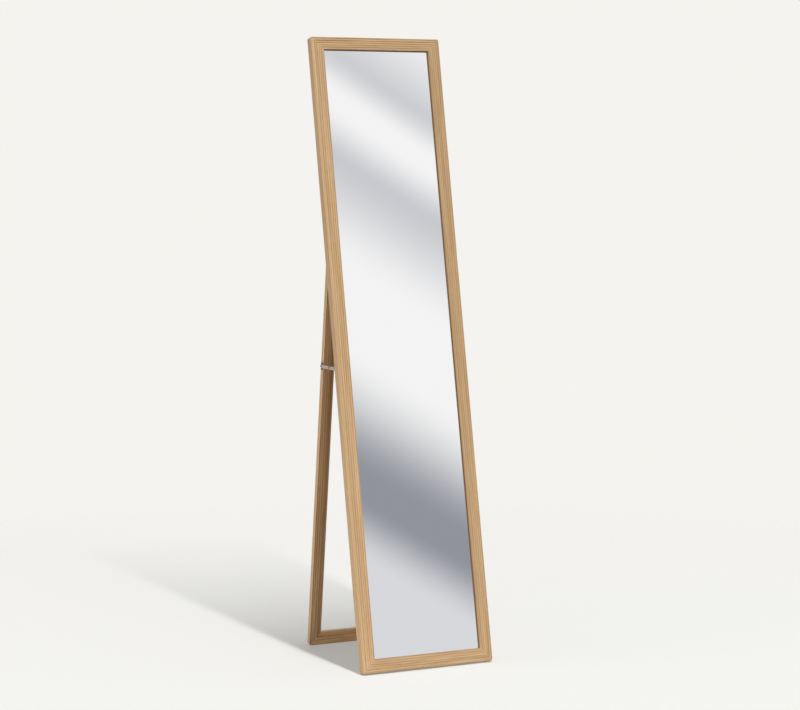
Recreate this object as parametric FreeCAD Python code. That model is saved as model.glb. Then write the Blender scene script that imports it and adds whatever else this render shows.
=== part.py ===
import FreeCAD, Part
import math
import os

from FreeCAD import Placement, Rotation, Vector

# A leaning floor mirror, in millimetres, +Z up, mirror facing -Y, standing on Z = 0.
# A mitred wooden frame leans back on a U-shaped rear leg that is hinged to its stiles.
# Two folding stays, one each side, hold the leg open and knuckle upwards to let it fold flat.

# Mirror frame
FRAME_WIDTH = 348.0
FRAME_HEIGHT = 1550.0
MOULDING_WIDTH = 33.0
MOULDING_DEPTH = 22.0
LIP_DEPTH = 5.0
REBATE_WIDTH = 7.0
FRONT_EDGE_RADIUS = 3.0
CORNER_RADIUS = 4.5
SIGHT_EDGE_RADIUS = 1.0

# Mirror pane and back board, held in the rebate by glazing points
PANE_THICKNESS = 3.0
BOARD_THICKNESS = 3.0
PANE_PLAY = 1.0
POINT_WIDTH = 9.0
POINT_THICKNESS = 0.8
POINT_IN_WOOD = 6.0
POINT_ON_BOARD = 7.0
POINT_TIP = 3.0
POINTS_PER_STILE = 5
POINTS_PER_RAIL = 2

# Corner nails, an angle of steel strip driven into each mitre from behind
NAIL_WING = 5.0
NAIL_THICKNESS = 0.7
NAIL_DEPTH = 7.0
FRAME_NAIL_INSETS = (6.0, 15.0)
LEG_NAIL_INSETS = (5.0, 13.0)

# Stance: the lean of the mirror and the angle between frame and leg when open
LEAN = 11.4
OPEN_ANGLE = 18.85
HINGE_HEIGHT = 1027.0

# Rear leg, a stepped moulding whose inner part is set back on the side facing the mirror
LEG_INSET = 15.0
LEG_MOULDING_WIDTH = 30.5
LEG_MOULDING_DEPTH = 17.5
LEG_STEP_WIDTH = 11.0
LEG_STEP_DEPTH = 4.0
LEG_EDGE_RADIUS = 1.5
LEG_CORNER_RADIUS = 4.0

# Butt hinges
HINGE_LENGTH = 24.0
KNUCKLE_RADIUS = 2.3
KNUCKLE_SEAT_GAP = 0.3
KNUCKLE_END_GAP = 0.3
HINGE_PIN_RADIUS = 1.2
LEAF_THICKNESS = 1.0
LEAF_HEIGHT = 20.0
LEAF_CORNER_RADIUS = 2.0
LEAF_SCREW_EDGE = 4.0
LEAF_SCREW_DROPS = (8.5, 15.5)

# Folding stays: pivots the same distance below the hinge on frame and leg
STAY_DROP = 293.5
STAY_FRAME_REACH = 6.5
STAY_LEG_REACH = 9.0
LINK_WIDTH = 8.0
LINK_THICKNESS = 1.5
NOTCH_REACH = 10.0
NOTCH_DEPTH = 2.0
LAYER_GAP = 0.2
PLATE_THICKNESS = 1.5
PLATE_WIDTH = 9.0
PLATE_LENGTH = 20.0
PLATE_SCREW_SPACING = 12.5
BRACKET_THICKNESS = 1.5
BRACKET_WIDTH = 14.0
BRACKET_LENGTH = 26.0
BRACKET_SCREW_SPACING = 16.0
BRACKET_CORNER_RADIUS = 2.5
EAR_ROOT_WIDTH = 16.0
RIVET_RADIUS = 1.5
RIVET_HEAD_RADIUS = 2.5
RIVET_HEAD_HEIGHT = 0.9
RUNNING_CLEARANCE = 0.05

# Countersunk wood screws
SCREW_RADIUS = 1.3
SCREW_HEAD_RADIUS = 2.4
SCREW_LENGTH = 10.0
SCREW_TIP = 2.5
RECESS_LENGTH = 2.6
RECESS_WIDTH = 0.6
RECESS_DEPTH = 0.8

# Worked out from the sizes above
LEG_LEAN = OPEN_ANGLE - LEAN
LEG_WIDTH = FRAME_WIDTH - 2 * LEG_INSET
LEG_SIDE = LEG_WIDTH / 2
REBATE_WALL = MOULDING_WIDTH - REBATE_WIDTH
GLASS_PLANE = LIP_DEPTH - MOULDING_DEPTH
BOARD_PLANE = GLASS_PLANE + PANE_THICKNESS
BOARD_BACK = BOARD_PLANE + BOARD_THICKNESS
AXIS_OFFSET = KNUCKLE_RADIUS + KNUCKLE_SEAT_GAP
HINGE_CENTRE = FRAME_WIDTH / 2 - (LEG_INSET + REBATE_WALL) / 2

# Where the leg's foot lands: its front edge and the frame's back edge both stand on the floor
lean = math.radians(LEAN)
leg_lean = math.radians(LEG_LEAN)
axis_height = HINGE_HEIGHT * math.cos(lean) - AXIS_OFFSET * math.sin(lean)
axis_back = HINGE_HEIGHT * math.sin(lean) + AXIS_OFFSET * math.cos(lean)
LEG_LENGTH = (axis_height + AXIS_OFFSET * math.sin(leg_lean)) / math.cos(leg_lean)
FOOT_BACK = axis_back + AXIS_OFFSET * math.cos(leg_lean) + LEG_LENGTH * math.sin(leg_lean)

# The origin is under the middle of the whole object, front to back
front_arc_reach = (MOULDING_DEPTH - FRONT_EDGE_RADIUS) * math.cos(lean)
front_reach = front_arc_reach + FRONT_EDGE_RADIUS * (1 - math.sin(lean))
rear_arc_reach = (LEG_MOULDING_DEPTH - LEG_EDGE_RADIUS) * math.cos(leg_lean)
foot_reach = FOOT_BACK + rear_arc_reach + LEG_EDGE_RADIUS * (1 - math.sin(leg_lean))
rear_reach = max(foot_reach, FRAME_HEIGHT * math.sin(lean))
FRAME_FOOT_Y = (front_reach - rear_reach) / 2

# Local frames: Y = 0 is the frame's back plane and the leg's front plane, Z runs up each one
FRAME_PLACE = Placement(Vector(0, FRAME_FOOT_Y, 0), Rotation(Vector(1, 0, 0), -LEAN))
LEG_PLACE = Placement(Vector(0, FRAME_FOOT_Y + FOOT_BACK, 0), Rotation(Vector(1, 0, 0), LEG_LEAN))

# Stay layers, as distances outwards from the leg's outer side
REAR_LINK_LAYER = PLATE_THICKNESS + LAYER_GAP
FRONT_LINK_LAYER = REAR_LINK_LAYER + LINK_THICKNESS + LAYER_GAP
EAR_LAYER = FRONT_LINK_LAYER + LINK_THICKNESS + LAYER_GAP
FRAME_PIVOT_HEIGHT = HINGE_HEIGHT - STAY_DROP
LEG_PIVOT_HEIGHT = LEG_LENGTH - STAY_DROP
FRAME_PIVOT = FRAME_PLACE.multVec(Vector(0, STAY_FRAME_REACH, FRAME_PIVOT_HEIGHT))
LEG_PIVOT = LEG_PLACE.multVec(Vector(0, STAY_LEG_REACH, LEG_PIVOT_HEIGHT))
STAY_SPAN = LEG_PIVOT.sub(FRAME_PIVOT)
LINK_LENGTH = STAY_SPAN.Length / 2
STAY_SLOPE = math.degrees(math.atan2(STAY_SPAN.z, STAY_SPAN.y))


def rounded_face(corners):
    """Face in the XY plane from (x, y, radius) corners, with a tangent arc at each rounded one."""
    arcs = []
    count = len(corners)
    for index in range(count):
        x, y, radius = corners[index]
        corner = Vector(x, y, 0)
        before = Vector(*corners[index - 1][:2], 0).sub(corner).normalize()
        after = Vector(*corners[(index + 1) % count][:2], 0).sub(corner).normalize()
        half = before.getAngle(after) / 2
        trim = radius / math.tan(half)
        middle = corner + (before + after).normalize() * (radius / math.sin(half) - radius)
        arcs.append((corner + before * trim, middle, corner + after * trim, radius))
    edges = []
    for index in range(count):
        start, middle, end, radius = arcs[index]
        if radius > 0:
            edges.append(Part.Arc(start, middle, end).toShape())
        edges.append(Part.LineSegment(end, arcs[(index + 1) % count][0]).toShape())
    return Part.Face(Part.Wire(edges))


def stadium(length, width, thickness):
    """Strap in the YZ plane with round ends about (0, 0) and (length, 0), thick along +X."""
    half = width / 2
    lower = Part.LineSegment(Vector(0, 0, -half), Vector(0, length, -half)).toShape()
    far_end = Part.Arc(Vector(0, length, -half), Vector(0, length + half, 0), Vector(0, length, half))
    upper = Part.LineSegment(Vector(0, length, half), Vector(0, 0, half)).toShape()
    near_end = Part.Arc(Vector(0, 0, half), Vector(0, -half, 0), Vector(0, 0, -half))
    wire = Part.Wire([lower, far_end.toShape(), upper, near_end.toShape()])
    return Part.Face(wire).extrude(Vector(thickness, 0, 0))


def box(low, high):
    """Box between two opposite corners."""
    size = high.sub(low)
    return Part.makeBox(size.x, size.y, size.z, low)


def cross_pin(x_low, x_high, y, z, radius):
    """Cylinder along X."""
    return Part.makeCylinder(radius, x_high - x_low, Vector(x_low, y, z), Vector(1, 0, 0))


def mirrored(shape):
    """The same piece on the other side."""
    return shape.mirror(Vector(0, 0, 0), Vector(1, 0, 0))


def placed(shape, placement):
    """Copy of a piece moved from its local frame to its place in the object."""
    copy = shape.copy()
    copy.Placement = placement.multiply(copy.Placement)
    return copy


def mitred_member(profile, width, length, mitre_end):
    """Bar along +Z, outer edge at X = 0, mitred at its start and, if asked, at its end."""
    bar = profile.extrude(Vector(0, 0, length))
    end_cut = width if mitre_end else 0
    outline = [(0, 0), (width, width), (width, length - end_cut), (0, length), (0, 0)]
    deep = max(MOULDING_DEPTH, LEG_MOULDING_DEPTH) + 1
    keep = Part.Face(Part.makePolygon([Vector(x, -deep, z) for x, z in outline]))
    return bar.common(keep.extrude(Vector(0, 2 * deep, 0)))


def laid_down(member, length):
    """A member built upright, laid along X as a rail centred on X = 0."""
    rail = member.mirror(Vector(0, 0, 0), Vector(1, 0, -1))
    rail.translate(Vector(-length / 2, 0, 0))
    return rail


def screw_space(point, direction):
    """The space a countersunk screw fills, flush head centred on point, driven along direction."""
    head_depth = SCREW_HEAD_RADIUS - SCREW_RADIUS
    outline = [(0, 0), (SCREW_HEAD_RADIUS, 0), (SCREW_RADIUS, -head_depth)]
    outline += [(SCREW_RADIUS, SCREW_TIP - SCREW_LENGTH), (0, -SCREW_LENGTH), (0, 0)]
    half_face = Part.Face(Part.makePolygon([Vector(r, 0, z) for r, z in outline]))
    body = half_face.revolve(Vector(0, 0, 0), Vector(0, 0, 1), 360)
    body.Placement = Placement(point, Rotation(Vector(0, 0, -1), direction))
    return body


def screw(point, direction):
    """Countersunk screw with a cross recess in its head."""
    reach = RECESS_LENGTH / 2
    half = RECESS_WIDTH / 2
    recess = box(Vector(-reach, -half, -RECESS_DEPTH), Vector(reach, half, RECESS_DEPTH))
    recess = recess.fuse(box(Vector(-half, -reach, -RECESS_DEPTH), Vector(half, reach, RECESS_DEPTH)))
    recess.Placement = Placement(point, Rotation(Vector(0, 0, -1), direction))
    return screw_space(point, direction).cut(recess)


def drilled(shape, seats):
    """Piece with every screw seat (point, direction) cut out of it."""
    for point, direction in seats:
        shape = shape.cut(screw_space(point, direction))
    return shape


def dome_rivet(x_tail, x_head, y, z):
    """Rivet along X with its shank from x_tail to x_head and a domed head beyond x_head."""
    towards = Vector(1 if x_head > x_tail else -1, 0, 0)
    seat = Vector(x_head, y, z)
    shank = Part.makeCylinder(RIVET_RADIUS, abs(x_head - x_tail), Vector(x_tail, y, z), towards)
    dome_radius = (RIVET_HEAD_RADIUS ** 2 + RIVET_HEAD_HEIGHT ** 2) / (2 * RIVET_HEAD_HEIGHT)
    dome = Part.makeSphere(dome_radius, seat + towards * (RIVET_HEAD_HEIGHT - dome_radius))
    head = dome.common(Part.makeCylinder(dome_radius, dome_radius, seat, towards))
    return shank.fuse(head).removeSplitter()


# Mouldings

def frame_profile():
    """Rebated picture moulding with a sharp outer arris: outer edge at X = 0, front towards -Y."""
    return rounded_face([
        (0, 0, 0),
        (0, -MOULDING_DEPTH, 0),
        (MOULDING_WIDTH, -MOULDING_DEPTH, SIGHT_EDGE_RADIUS),
        (MOULDING_WIDTH, GLASS_PLANE, 0),
        (REBATE_WALL, GLASS_PLANE, 0),
        (REBATE_WALL, 0, 0),
    ])


def leg_profile():
    """Stepped leg moulding with a sharp outer arris: outer edge at X = 0, front at Y = 0."""
    land = LEG_MOULDING_WIDTH - LEG_STEP_WIDTH
    return rounded_face([
        (0, 0, 0),
        (land, 0, 0),
        (land, LEG_STEP_DEPTH, 0),
        (LEG_MOULDING_WIDTH, LEG_STEP_DEPTH, 0),
        (LEG_MOULDING_WIDTH, LEG_MOULDING_DEPTH, LEG_EDGE_RADIUS),
        (0, LEG_MOULDING_DEPTH, 0),
    ])


# Outlines that round a glued-up frame's outer corners and outer arris

def rounded_slab(outline, depth, arris_radius, top):
    """Slab in the XZ plane from Y = 0 to Y = -depth, its far arris rounded below the height top."""
    slab = rounded_face(outline).extrude(Vector(0, 0, depth))
    arris = []
    for edge in slab.Edges:
        middle = edge.CenterOfMass
        if middle.z > depth - arris_radius and middle.y < top - arris_radius:
            arris.append(edge)
    slab = slab.makeFillet(arris_radius, arris)
    slab.Placement = Placement(Vector(0, 0, 0), Rotation(Vector(1, 0, 0), 90))
    return slab


def frame_outline():
    """The mirror frame's outside, with four round corners and a round front arris."""
    half = FRAME_WIDTH / 2
    corners = [(-half, 0), (half, 0), (half, FRAME_HEIGHT), (-half, FRAME_HEIGHT)]
    outline = [(x, z, CORNER_RADIUS) for x, z in corners]
    return rounded_slab(outline, MOULDING_DEPTH, FRONT_EDGE_RADIUS, 2 * FRAME_HEIGHT)


def leg_outline():
    """The leg's outside, with two round corners at the foot and a round back arris."""
    outline = [
        (-LEG_SIDE, 0, LEG_CORNER_RADIUS),
        (LEG_SIDE, 0, LEG_CORNER_RADIUS),
        (LEG_SIDE, LEG_LENGTH, 0),
        (-LEG_SIDE, LEG_LENGTH, 0),
    ]
    slab = rounded_slab(outline, LEG_MOULDING_DEPTH, LEG_EDGE_RADIUS, LEG_LENGTH)
    return slab.mirror(Vector(0, 0, 0), Vector(0, 1, 0))


# Small fixings that several members share

def corner_nail(inset, back):
    """Corner nail for a corner at X = 0, Z = 0, flush with the back plane Y = back."""
    far = inset + NAIL_WING
    front = back - NAIL_DEPTH
    along_rail = box(Vector(inset, front, inset), Vector(far, back, inset + NAIL_THICKNESS))
    along_stile = box(Vector(inset, front, inset), Vector(inset + NAIL_THICKNESS, back, far))
    return along_rail.fuse(along_stile).removeSplitter()


def frame_nails():
    """Two corner nails at each corner of the mirror frame."""
    nails = []
    for inset in FRAME_NAIL_INSETS:
        nail = corner_nail(inset, 0)
        nail.translate(Vector(-FRAME_WIDTH / 2, 0, 0))
        upper = nail.mirror(Vector(0, 0, FRAME_HEIGHT / 2), Vector(0, 0, 1))
        nails += [nail, upper, mirrored(nail), mirrored(upper)]
    return nails


def leg_nails():
    """Two corner nails at each foot of the leg."""
    nails = []
    for inset in LEG_NAIL_INSETS:
        nail = corner_nail(inset, LEG_MOULDING_DEPTH)
        nail.translate(Vector(-LEG_SIDE, 0, 0))
        nails += [nail, mirrored(nail)]
    return nails


def glazing_point():
    """Flat dart at the origin: Y up from the board, tip driven into wood towards -X."""
    half = POINT_WIDTH / 2
    outline = [
        (POINT_ON_BOARD, -half),
        (POINT_ON_BOARD, half),
        (POINT_TIP - POINT_IN_WOOD, half),
        (-POINT_IN_WOOD, 0),
        (POINT_TIP - POINT_IN_WOOD, -half),
        (POINT_ON_BOARD, -half),
    ]
    face = Part.Face(Part.makePolygon([Vector(x, BOARD_BACK, z) for x, z in outline]))
    return face.extrude(Vector(0, POINT_THICKNESS, 0))


def glazing_points():
    """Darts spaced evenly along both stiles and both rails."""
    points = []
    for index in range(POINTS_PER_STILE):
        point = glazing_point()
        height = FRAME_HEIGHT * (index + 0.5) / POINTS_PER_STILE
        point.translate(Vector(REBATE_WALL - FRAME_WIDTH / 2, 0, height))
        points += [point, mirrored(point)]
    for index in range(POINTS_PER_RAIL):
        point = glazing_point().mirror(Vector(0, 0, 0), Vector(1, 0, -1))
        across = FRAME_WIDTH * ((index + 0.5) / POINTS_PER_RAIL - 0.5)
        point.translate(Vector(across, 0, REBATE_WALL))
        points += [point, point.mirror(Vector(0, 0, FRAME_HEIGHT / 2), Vector(0, 0, 1))]
    return points


# Screw seats on the left side, each a point and a driving direction in the local frame

def hinge_frame_seats():
    """Screws through the frame leaf into the stile."""
    seats = []
    for across, drop in zip((HINGE_LENGTH / 2 - LEAF_SCREW_EDGE, 0), LEAF_SCREW_DROPS):
        point = Vector(-HINGE_CENTRE - across, LEAF_THICKNESS, HINGE_HEIGHT - drop)
        seats.append((point, Vector(0, -1, 0)))
    return seats


def hinge_leg_seats():
    """Screws through the leg leaf into the post."""
    seats = []
    for across, drop in zip((HINGE_LENGTH / 2 - LEAF_SCREW_EDGE, 0), LEAF_SCREW_DROPS):
        point = Vector(-HINGE_CENTRE + across, -LEAF_THICKNESS, LEG_LENGTH - drop)
        seats.append((point, Vector(0, 1, 0)))
    return seats


def stay_frame_seats():
    """Screws through the stay's bracket into the back of the stile."""
    ear_outside = LEG_SIDE + EAR_LAYER + BRACKET_THICKNESS
    across = ear_outside - (BRACKET_WIDTH + BRACKET_THICKNESS) / 2
    seats = []
    for offset in (-BRACKET_SCREW_SPACING / 2, BRACKET_SCREW_SPACING / 2):
        point = Vector(-across, BRACKET_THICKNESS, FRAME_PIVOT_HEIGHT + offset)
        seats.append((point, Vector(0, -1, 0)))
    return seats


def stay_leg_seats():
    """Screws through the stay's plate into the outer side of the post."""
    seats = []
    for offset in (-PLATE_SCREW_SPACING / 2, PLATE_SCREW_SPACING / 2):
        point = Vector(-LEG_SIDE - PLATE_THICKNESS, STAY_LEG_REACH, LEG_PIVOT_HEIGHT + offset)
        seats.append((point, Vector(1, 0, 0)))
    return seats


# Hinges

def knuckle_spans():
    """The frame leaf's two outer knuckles and the leg leaf's middle one, as X ranges."""
    start = -HINGE_CENTRE - HINGE_LENGTH / 2
    third = HINGE_LENGTH / 3
    cuts = [start + third * index for index in range(4)]
    middle = (cuts[1] + KNUCKLE_END_GAP / 2, cuts[2] - KNUCKLE_END_GAP / 2)
    outer = (cuts[0], cuts[1] - KNUCKLE_END_GAP / 2)
    inner = (cuts[2] + KNUCKLE_END_GAP / 2, cuts[3])
    return outer, middle, inner


def leaf_plate(y_low, axis_z):
    """Hinge leaf with rounded lower corners, hanging from the axis height."""
    half = HINGE_LENGTH / 2
    face = rounded_face([
        (-half, 0, 0),
        (-half, -LEAF_HEIGHT, LEAF_CORNER_RADIUS),
        (half, -LEAF_HEIGHT, LEAF_CORNER_RADIUS),
        (half, 0, 0),
    ])
    plate = face.extrude(Vector(0, 0, LEAF_THICKNESS))
    plate.Placement = Placement(
        Vector(-HINGE_CENTRE, y_low + LEAF_THICKNESS, axis_z), Rotation(Vector(1, 0, 0), 90)
    )
    return plate


def hinge_frame_leaf():
    """Left frame leaf with its outer and inner knuckles."""
    outer, middle, inner = knuckle_spans()
    leaf = leaf_plate(0, HINGE_HEIGHT)
    room = KNUCKLE_RADIUS + KNUCKLE_SEAT_GAP
    gap = KNUCKLE_END_GAP
    leaf = leaf.cut(cross_pin(middle[0] - gap, middle[1] + gap, AXIS_OFFSET, HINGE_HEIGHT, room))
    for low, high in (outer, inner):
        leaf = leaf.fuse(cross_pin(low, high, AXIS_OFFSET, HINGE_HEIGHT, KNUCKLE_RADIUS))
    bore = cross_pin(outer[0], inner[1], AXIS_OFFSET, HINGE_HEIGHT, HINGE_PIN_RADIUS)
    return drilled(leaf.cut(bore), hinge_frame_seats())


def hinge_leg_leaf():
    """Left leg leaf with its middle knuckle."""
    outer, middle, inner = knuckle_spans()
    leaf = leaf_plate(-LEAF_THICKNESS, LEG_LENGTH)
    room = KNUCKLE_RADIUS + KNUCKLE_SEAT_GAP
    gap = KNUCKLE_END_GAP
    for low, high in (outer, inner):
        leaf = leaf.cut(cross_pin(low - gap, high + gap, -AXIS_OFFSET, LEG_LENGTH, room))
    leaf = leaf.fuse(cross_pin(*middle, -AXIS_OFFSET, LEG_LENGTH, KNUCKLE_RADIUS))
    bore_radius = HINGE_PIN_RADIUS + RUNNING_CLEARANCE
    bore = cross_pin(middle[0], middle[1], -AXIS_OFFSET, LEG_LENGTH, bore_radius)
    return drilled(leaf.cut(bore), hinge_leg_seats())


def hinge_pin():
    """Left hinge pin through all the knuckles."""
    outer, _, inner = knuckle_spans()
    return cross_pin(outer[0], inner[1], AXIS_OFFSET, HINGE_HEIGHT, HINGE_PIN_RADIUS)


# Folding stays

def stay_frame_bracket():
    """Left angle bracket: a base on the stile's back and an ear that carries the front link."""
    ear_inside = -LEG_SIDE - EAR_LAYER
    ear_outside = ear_inside - BRACKET_THICKNESS
    half = BRACKET_LENGTH / 2
    base_face = rounded_face([
        (0, -half, 0),
        (BRACKET_WIDTH, -half, BRACKET_CORNER_RADIUS),
        (BRACKET_WIDTH, half, BRACKET_CORNER_RADIUS),
        (0, half, 0),
    ])
    base = base_face.extrude(Vector(0, 0, BRACKET_THICKNESS))
    base.Placement = Placement(
        Vector(ear_outside, BRACKET_THICKNESS, FRAME_PIVOT_HEIGHT), Rotation(Vector(1, 0, 0), 90)
    )
    root = EAR_ROOT_WIDTH / 2
    tip = LINK_WIDTH / 2
    edges = [
        Part.LineSegment(Vector(0, 0, -root), Vector(0, STAY_FRAME_REACH, -tip)).toShape(),
        Part.Arc(
            Vector(0, STAY_FRAME_REACH, -tip),
            Vector(0, STAY_FRAME_REACH + tip, 0),
            Vector(0, STAY_FRAME_REACH, tip),
        ).toShape(),
        Part.LineSegment(Vector(0, STAY_FRAME_REACH, tip), Vector(0, 0, root)).toShape(),
        Part.LineSegment(Vector(0, 0, root), Vector(0, 0, -root)).toShape(),
    ]
    ear = Part.Face(Part.Wire(edges)).extrude(Vector(BRACKET_THICKNESS, 0, 0))
    ear.translate(Vector(ear_outside, 0, FRAME_PIVOT_HEIGHT))
    hole = cross_pin(ear_outside, ear_inside, STAY_FRAME_REACH, FRAME_PIVOT_HEIGHT, RIVET_RADIUS)
    return drilled(base.fuse(ear).removeSplitter().cut(hole), stay_frame_seats())


def stay_frame_rivet():
    """Left rivet through the bracket's ear and the front link."""
    tail = -LEG_SIDE - FRONT_LINK_LAYER
    head = -LEG_SIDE - EAR_LAYER - BRACKET_THICKNESS
    return dome_rivet(tail, head, STAY_FRAME_REACH, FRAME_PIVOT_HEIGHT)


def stay_leg_plate():
    """Left plate on the outer side of the post, which carries the rear link."""
    run = PLATE_LENGTH - PLATE_WIDTH
    plate = stadium(run, PLATE_WIDTH, PLATE_THICKNESS)
    plate.Placement = Placement(
        Vector(-LEG_SIDE - PLATE_THICKNESS, STAY_LEG_REACH, LEG_PIVOT_HEIGHT - run / 2),
        Rotation(Vector(1, 0, 0), 90),
    )
    outside = -LEG_SIDE - PLATE_THICKNESS
    hole = cross_pin(outside, -LEG_SIDE, STAY_LEG_REACH, LEG_PIVOT_HEIGHT, RIVET_RADIUS)
    return drilled(plate.cut(hole), stay_leg_seats())


def stay_leg_rivet():
    """Left rivet through the plate and the rear link."""
    head = -LEG_SIDE - REAR_LINK_LAYER - LINK_THICKNESS
    return dome_rivet(-LEG_SIDE, head, STAY_LEG_REACH, LEG_PIVOT_HEIGHT)


def stay_link(layer, near_radius, far_radius):
    """Left link lying along +Y from its own pivot, in its layer."""
    link = stadium(LINK_LENGTH, LINK_WIDTH, LINK_THICKNESS)
    link = link.cut(cross_pin(0, LINK_THICKNESS, 0, 0, near_radius))
    link = link.cut(cross_pin(0, LINK_THICKNESS, LINK_LENGTH, 0, far_radius))
    link.translate(Vector(-LEG_SIDE - layer - LINK_THICKNESS, 0, 0))
    return link


def stay_front_link():
    """Left front link, fast on the knee rivet, its upper edge notched beside the knee's round end."""
    link = stay_link(FRONT_LINK_LAYER, RIVET_RADIUS + RUNNING_CLEARANCE, RIVET_RADIUS)
    inside = -LEG_SIDE - FRONT_LINK_LAYER
    outside = inside - LINK_THICKNESS
    edge = LINK_WIDTH / 2
    notch_low = Vector(outside, LINK_LENGTH - NOTCH_REACH, edge - NOTCH_DEPTH)
    notch = box(notch_low, Vector(inside, LINK_LENGTH, LINK_WIDTH))
    return link.cut(notch.cut(cross_pin(outside, inside, LINK_LENGTH, 0, edge)))


def stay_middle_rivet():
    """Left knee rivet, fast in the front link and flush with its inner face."""
    tail = -LEG_SIDE - FRONT_LINK_LAYER
    return dome_rivet(tail, tail - LINK_THICKNESS, LINK_LENGTH, 0)


# Sub-assemblies

def without(shape, pieces):
    """Piece with the space of the pieces driven into it cut out."""
    for piece in pieces:
        if shape.BoundBox.intersect(piece.BoundBox):
            shape = shape.cut(piece)
    return shape


def build_frame():
    """Nodes of the mirror frame in its local frame."""
    fixings = frame_nails() + glazing_points()
    stile = mitred_member(frame_profile(), MOULDING_WIDTH, FRAME_HEIGHT, True)
    stile.translate(Vector(-FRAME_WIDTH / 2, 0, 0))
    stile = stile.common(frame_outline())
    stile = drilled(without(stile, fixings), hinge_frame_seats() + stay_frame_seats())
    rail = mitred_member(frame_profile(), MOULDING_WIDTH, FRAME_WIDTH, True)
    rail = without(laid_down(rail, FRAME_WIDTH).common(frame_outline()), fixings)
    pane_width = FRAME_WIDTH - 2 * REBATE_WALL - 2 * PANE_PLAY
    pane_low = Vector(-pane_width / 2, GLASS_PLANE, REBATE_WALL)
    pane_high = Vector(pane_width / 2, BOARD_PLANE, FRAME_HEIGHT - REBATE_WALL - 2 * PANE_PLAY)
    board_step = Vector(0, PANE_THICKNESS, 0)
    board_high = Vector(pane_high.x, BOARD_BACK, pane_high.z)
    hinge_screws = [screw(*seat) for seat in hinge_frame_seats()]
    stay_screws = [screw(*seat) for seat in stay_frame_seats()]
    return {
        "left_stile": stile,
        "right_stile": mirrored(stile),
        "bottom_rail": rail,
        "top_rail": rail.mirror(Vector(0, 0, FRAME_HEIGHT / 2), Vector(0, 0, 1)),
        "mirror_pane": box(pane_low, pane_high),
        "back_board": box(pane_low.add(board_step), board_high),
        "glazing_points": Part.makeCompound(glazing_points()),
        "frame_corner_nails": Part.makeCompound(frame_nails()),
        "hinge_left_frame_leaf": hinge_frame_leaf(),
        "hinge_right_frame_leaf": mirrored(hinge_frame_leaf()),
        "hinge_left_pin": hinge_pin(),
        "hinge_right_pin": mirrored(hinge_pin()),
        "hinge_frame_screws": Part.makeCompound(hinge_screws + [mirrored(s) for s in hinge_screws]),
        "stay_left_frame_bracket": stay_frame_bracket(),
        "stay_right_frame_bracket": mirrored(stay_frame_bracket()),
        "stay_left_frame_rivet": stay_frame_rivet(),
        "stay_right_frame_rivet": mirrored(stay_frame_rivet()),
        "stay_frame_screws": Part.makeCompound(stay_screws + [mirrored(s) for s in stay_screws]),
    }


def build_leg():
    """Nodes of the rear leg in its local frame."""
    post = mitred_member(leg_profile(), LEG_MOULDING_WIDTH, LEG_LENGTH, False)
    post.translate(Vector(-LEG_SIDE, 0, 0))
    post = post.common(leg_outline())
    post = drilled(without(post, leg_nails()), hinge_leg_seats() + stay_leg_seats())
    rail = mitred_member(leg_profile(), LEG_MOULDING_WIDTH, LEG_WIDTH, True)
    rail = without(laid_down(rail, LEG_WIDTH).common(leg_outline()), leg_nails())
    hinge_screws = [screw(*seat) for seat in hinge_leg_seats()]
    stay_screws = [screw(*seat) for seat in stay_leg_seats()]
    return {
        "leg_left_post": post,
        "leg_right_post": mirrored(post),
        "leg_bottom_rail": rail,
        "leg_corner_nails": Part.makeCompound(leg_nails()),
        "hinge_left_leg_leaf": hinge_leg_leaf(),
        "hinge_right_leg_leaf": mirrored(hinge_leg_leaf()),
        "hinge_leg_screws": Part.makeCompound(hinge_screws + [mirrored(s) for s in hinge_screws]),
        "stay_left_leg_plate": stay_leg_plate(),
        "stay_right_leg_plate": mirrored(stay_leg_plate()),
        "stay_left_leg_rivet": stay_leg_rivet(),
        "stay_right_leg_rivet": mirrored(stay_leg_rivet()),
        "stay_leg_screws": Part.makeCompound(stay_screws + [mirrored(s) for s in stay_screws]),
    }


def build_links():
    """Nodes of both stays' links, placed straight between their pivots."""
    running = RIVET_RADIUS + RUNNING_CLEARANCE
    front_place = Placement(FRAME_PIVOT, Rotation(Vector(1, 0, 0), STAY_SLOPE))
    rear_place = Placement(LEG_PIVOT, Rotation(Vector(1, 0, 0), STAY_SLOPE + 180))
    front = placed(stay_front_link(), front_place)
    knee = placed(stay_middle_rivet(), front_place)
    rear = placed(stay_link(REAR_LINK_LAYER, running, running), rear_place)
    return {
        "stay_left_front_link": front,
        "stay_right_front_link": mirrored(front),
        "stay_left_middle_rivet": knee,
        "stay_right_middle_rivet": mirrored(knee),
        "stay_left_rear_link": rear,
        "stay_right_rear_link": mirrored(rear),
    }


os.makedirs("parts", exist_ok=True)
nodes = {name: placed(shape, FRAME_PLACE) for name, shape in build_frame().items()}
nodes.update({name: placed(shape, LEG_PLACE) for name, shape in build_leg().items()})
nodes.update(build_links())
for name, shape in nodes.items():
    shape.exportStep("parts/" + name + ".step")
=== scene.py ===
"""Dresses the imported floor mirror: oak veneer mouldings, silvered glass, zinc stays and a plain studio."""

import logging
import math
from collections.abc import Iterable
from dataclasses import dataclass
from enum import Enum
from typing import Any

import bmesh
import bpy
from mathutils import Matrix, Vector

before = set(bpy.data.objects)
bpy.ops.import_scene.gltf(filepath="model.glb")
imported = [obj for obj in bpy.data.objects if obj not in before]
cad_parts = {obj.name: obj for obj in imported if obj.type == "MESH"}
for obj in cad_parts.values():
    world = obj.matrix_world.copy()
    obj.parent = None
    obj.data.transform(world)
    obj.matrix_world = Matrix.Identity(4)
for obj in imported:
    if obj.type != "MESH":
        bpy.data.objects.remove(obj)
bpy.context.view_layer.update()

LOG = logging.getLogger("floor_mirror")
MM = 0.001
PALE_STUDIO = "#F4F3EF"

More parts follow.
